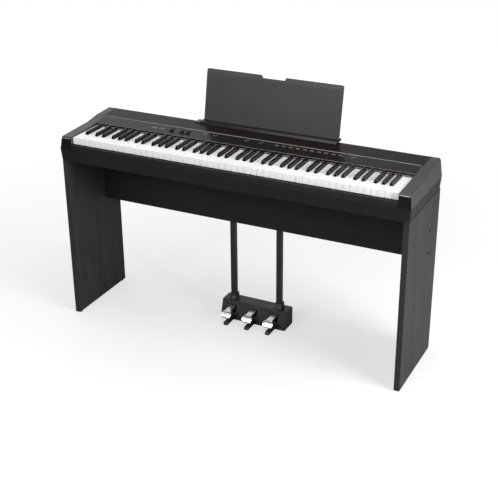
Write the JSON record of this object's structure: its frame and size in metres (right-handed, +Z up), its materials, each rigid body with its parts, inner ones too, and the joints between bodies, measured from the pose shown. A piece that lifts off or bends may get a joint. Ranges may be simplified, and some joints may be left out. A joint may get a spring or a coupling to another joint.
{
  "type": "digital piano on stand",
  "caption": "Slab digital piano with a full keyboard on a panel stand, with a music rest and a three-pedal unit.",
  "frame": {"origin": "on the floor under the middle of the whole object's bounding box", "axes": "+X to the treble side, +Y from the player to the back, +Z up"},
  "size_m": [1.316, 0.3548, 0.9275],
  "materials": {
    "case": "fine textured black",
    "end_block": "satin black",
    "deck": "brushed satin black",
    "panel_gloss": "polished black",
    "felt": "red felt",
    "steel": "zinc plated",
    "circuit": "solder mask",
    "rest": "fine textured dark grey",
    "board": "black wood-grain foil on board",
    "post": "satin black powder coat",
    "glide": "moulded black",
    "chrome": "polished",
    "key_white": "satin white",
    "key_black": "satin black",
    "slider": "moulded black",
    "button": "moulded dark grey",
    "button_row": "tinted dark brown"
  },
  "bodies": {
    "root": {"lower_case": "case", "bottom_plate": "case", "rear_panel": "case", "key_slip": "case", "rest_ledge": "case", "pedal_box": "case", "pedal_base": "case", "speaker_left": "case", "speaker_right": "case", "end_block_left": "end_block", "end_block_right": "end_block", "top_cover": "deck", "control_panel": "panel_gloss", "felt_strip": "felt", "key_frame": "steel", "pedal_axle": "steel", "bolt_left_lower": "steel", "bolt_left_upper": "steel", "bolt_right_lower": "steel", "bolt_right_upper": "steel", "main_board": "circuit", "music_rest": "rest", "side_board_left": "board", "side_board_right": "board", "back_panel": "board", "post_left": "post", "post_right": "post", "glide_left_front": "glide", "glide_left_rear": "glide", "glide_right_front": "glide", "glide_right_rear": "glide"},
    "key_c4": {"key_c4": "key_white"},
    "key_c_sharp4": {"key_c_sharp4": "key_black"},
    "key_d4": {"key_d4": "key_white"},
    "key_d_sharp4": {"key_d_sharp4": "key_black"},
    "key_e4": {"key_e4": "key_white"},
    "key_f4": {"key_f4": "key_white"},
    "key_f_sharp4": {"key_f_sharp4": "key_black"},
    "key_g4": {"key_g4": "key_white"},
    "key_g_sharp4": {"key_g_sharp4": "key_black"},
    "key_a4": {"key_a4": "key_white"},
    "key_a_sharp4": {"key_a_sharp4": "key_black"},
    "key_b4": {"key_b4": "key_white"},
    "key_unit_low": {"key_unit_low": "key_white"},
    "key_unit_2": {"key_unit_2": "key_white"},
    "key_unit_3": {"key_unit_3": "key_white"},
    "key_unit_5": {"key_unit_5": "key_white"},
    "key_unit_6": {"key_unit_6": "key_white"},
    "key_unit_high": {"key_unit_high": "key_white"},
    "pedal_left": {"pedal_left": "chrome"},
    "pedal_middle": {"pedal_middle": "chrome"},
    "pedal_right": {"pedal_right": "chrome"},
    "volume_slider": {"volume_slider": "slider"},
    "balance_slider": {"balance_slider": "slider"},
    "tone_slider": {"tone_slider": "slider"},
    "power_button": {"power_button": "button"},
    "function_button": {"function_button": "button"},
    "button_comb_left": {"button_comb_left": "button_row"},
    "button_comb_right": {"button_comb_right": "button_row"}
  },
  "joints": [
    {"name": "key_c4_press", "type": "hinge", "parent": "root", "child": "key_c4", "pos_m": [-0.05875, 0.04259, 0.6902], "axis": [1, 0, 0], "range_deg": [0, 2.8], "stiffness_Nm_per_rad": 2.2, "springref_deg": -4.58},
    {"name": "key_c_sharp4_press", "type": "hinge", "parent": "root", "child": "key_c_sharp4", "pos_m": [-0.04935, 0.04259, 0.6902], "axis": [1, 0, 0], "range_deg": [0, 3.4], "stiffness_Nm_per_rad": 1.2, "springref_deg": -4.58},
    {"name": "key_d4_press", "type": "hinge", "parent": "root", "child": "key_d4", "pos_m": [-0.03525, 0.04259, 0.6902], "axis": [1, 0, 0], "range_deg": [0, 2.8], "stiffness_Nm_per_rad": 2.2, "springref_deg": -4.58},
    {"name": "key_d_sharp4_press", "type": "hinge", "parent": "root", "child": "key_d_sharp4", "pos_m": [-0.02115, 0.04259, 0.6902], "axis": [1, 0, 0], "range_deg": [0, 3.4], "stiffness_Nm_per_rad": 1.2, "springref_deg": -4.58},
    {"name": "key_e4_press", "type": "hinge", "parent": "root", "child": "key_e4", "pos_m": [-0.01175, 0.04259, 0.6902], "axis": [1, 0, 0], "range_deg": [0, 2.8], "stiffness_Nm_per_rad": 2.2, "springref_deg": -4.58},
    {"name": "key_f4_press", "type": "hinge", "parent": "root", "child": "key_f4", "pos_m": [0.01175, 0.04259, 0.6902], "axis": [1, 0, 0], "range_deg": [0, 2.8], "stiffness_Nm_per_rad": 2.2, "springref_deg": -4.58},
    {"name": "key_f_sharp4_press", "type": "hinge", "parent": "root", "child": "key_f_sharp4", "pos_m": [0.02014, 0.04259, 0.6902], "axis": [1, 0, 0], "range_deg": [0, 3.4], "stiffness_Nm_per_rad": 1.2, "springref_deg": -4.58},
    {"name": "key_g4_press", "type": "hinge", "parent": "root", "child": "key_g4", "pos_m": [0.03525, 0.04259, 0.6902], "axis": [1, 0, 0], "range_deg": [0, 2.8], "stiffness_Nm_per_rad": 2.2, "springref_deg": -4.58},
    {"name": "key_g_sharp4_press", "type": "hinge", "parent": "root", "child": "key_g_sharp4", "pos_m": [0.047, 0.04259, 0.6902], "axis": [1, 0, 0], "range_deg": [0, 3.4], "stiffness_Nm_per_rad": 1.2, "springref_deg": -4.58},
    {"name": "key_a4_press", "type": "hinge", "parent": "root", "child": "key_a4", "pos_m": [0.05875, 0.04259, 0.6902], "axis": [1, 0, 0], "range_deg": [0, 2.8], "stiffness_Nm_per_rad": 2.2, "springref_deg": -4.58},
    {"name": "key_a_sharp4_press", "type": "hinge", "parent": "root", "child": "key_a_sharp4", "pos_m": [0.07386, 0.04259, 0.6902], "axis": [1, 0, 0], "range_deg": [0, 3.4], "stiffness_Nm_per_rad": 1.2, "springref_deg": -4.58},
    {"name": "key_b4_press", "type": "hinge", "parent": "root", "child": "key_b4", "pos_m": [0.08225, 0.04259, 0.6902], "axis": [1, 0, 0], "range_deg": [0, 2.8], "stiffness_Nm_per_rad": 2.2, "springref_deg": -4.58},
    {"name": "key_unit_low_press", "type": "hinge", "parent": "root", "child": "key_unit_low", "pos_m": [-0.50525, 0.04259, 0.6902], "axis": [1, 0, 0], "range_deg": [0, 2.8], "stiffness_Nm_per_rad": 33, "springref_deg": -4.58},
    {"name": "key_unit_2_press", "type": "hinge", "parent": "root", "child": "key_unit_2", "pos_m": [-0.31725, 0.04259, 0.6902], "axis": [1, 0, 0], "range_deg": [0, 2.8], "stiffness_Nm_per_rad": 26.4, "springref_deg": -4.58},
    {"name": "key_unit_3_press", "type": "hinge", "parent": "root", "child": "key_unit_3", "pos_m": [-0.15275, 0.04259, 0.6902], "axis": [1, 0, 0], "range_deg": [0, 2.8], "stiffness_Nm_per_rad": 26.4, "springref_deg": -4.58},
    {"name": "key_unit_5_press", "type": "hinge", "parent": "root", "child": "key_unit_5", "pos_m": [0.17625, 0.04259, 0.6902], "axis": [1, 0, 0], "range_deg": [0, 2.8], "stiffness_Nm_per_rad": 26.4, "springref_deg": -4.58},
    {"name": "key_unit_6_press", "type": "hinge", "parent": "root", "child": "key_unit_6", "pos_m": [0.34075, 0.04259, 0.6902], "axis": [1, 0, 0], "range_deg": [0, 2.8], "stiffness_Nm_per_rad": 26.4, "springref_deg": -4.58},
    {"name": "key_unit_high_press", "type": "hinge", "parent": "root", "child": "key_unit_high", "pos_m": [0.517, 0.04259, 0.6902], "axis": [1, 0, 0], "range_deg": [0, 2.8], "stiffness_Nm_per_rad": 28.6, "springref_deg": -4.58},
    {"name": "pedal_left_press", "type": "hinge", "parent": "root", "child": "pedal_left", "pos_m": [-0.0865, 0.08959, 0.043], "axis": [1, 0, 0], "range_deg": [0, 7], "stiffness_Nm_per_rad": 8, "springref_deg": -4.58},
    {"name": "pedal_middle_press", "type": "hinge", "parent": "root", "child": "pedal_middle", "pos_m": [0, 0.08959, 0.043], "axis": [1, 0, 0], "range_deg": [0, 7], "stiffness_Nm_per_rad": 8, "springref_deg": -4.58},
    {"name": "pedal_right_press", "type": "hinge", "parent": "root", "child": "pedal_right", "pos_m": [0.0865, 0.08959, 0.043], "axis": [1, 0, 0], "range_deg": [0, 7], "stiffness_Nm_per_rad": 8, "springref_deg": -4.58},
    {"name": "volume_slider_travel", "type": "slide", "parent": "root", "child": "volume_slider", "axis": [0, 0.9898, 0.1426], "range_m": [-0.01, 0.01]},
    {"name": "balance_slider_travel", "type": "slide", "parent": "root", "child": "balance_slider", "axis": [0, 0.9898, 0.1426], "range_m": [-0.01, 0.01]},
    {"name": "tone_slider_travel", "type": "slide", "parent": "root", "child": "tone_slider", "axis": [0, 0.9898, 0.1426], "range_m": [-0.01, 0.01]},
    {"name": "power_button_press", "type": "slide", "parent": "root", "child": "power_button", "axis": [0, 0, -1], "range_m": [0, 0.001], "stiffness_N_per_m": 400, "springref_m": -0.001},
    {"name": "function_button_press", "type": "slide", "parent": "root", "child": "function_button", "axis": [0, 0, -1], "range_m": [0, 0.001], "stiffness_N_per_m": 400, "springref_m": -0.001},
    {"name": "button_comb_left_press", "type": "slide", "parent": "root", "child": "button_comb_left", "axis": [0, 0, -1], "range_m": [0, 0.001], "stiffness_N_per_m": 800, "springref_m": -0.001},
    {"name": "button_comb_right_press", "type": "slide", "parent": "root", "child": "button_comb_right", "axis": [0, 0, -1], "range_m": [0, 0.001], "stiffness_N_per_m": 800, "springref_m": -0.001}
  ]
}
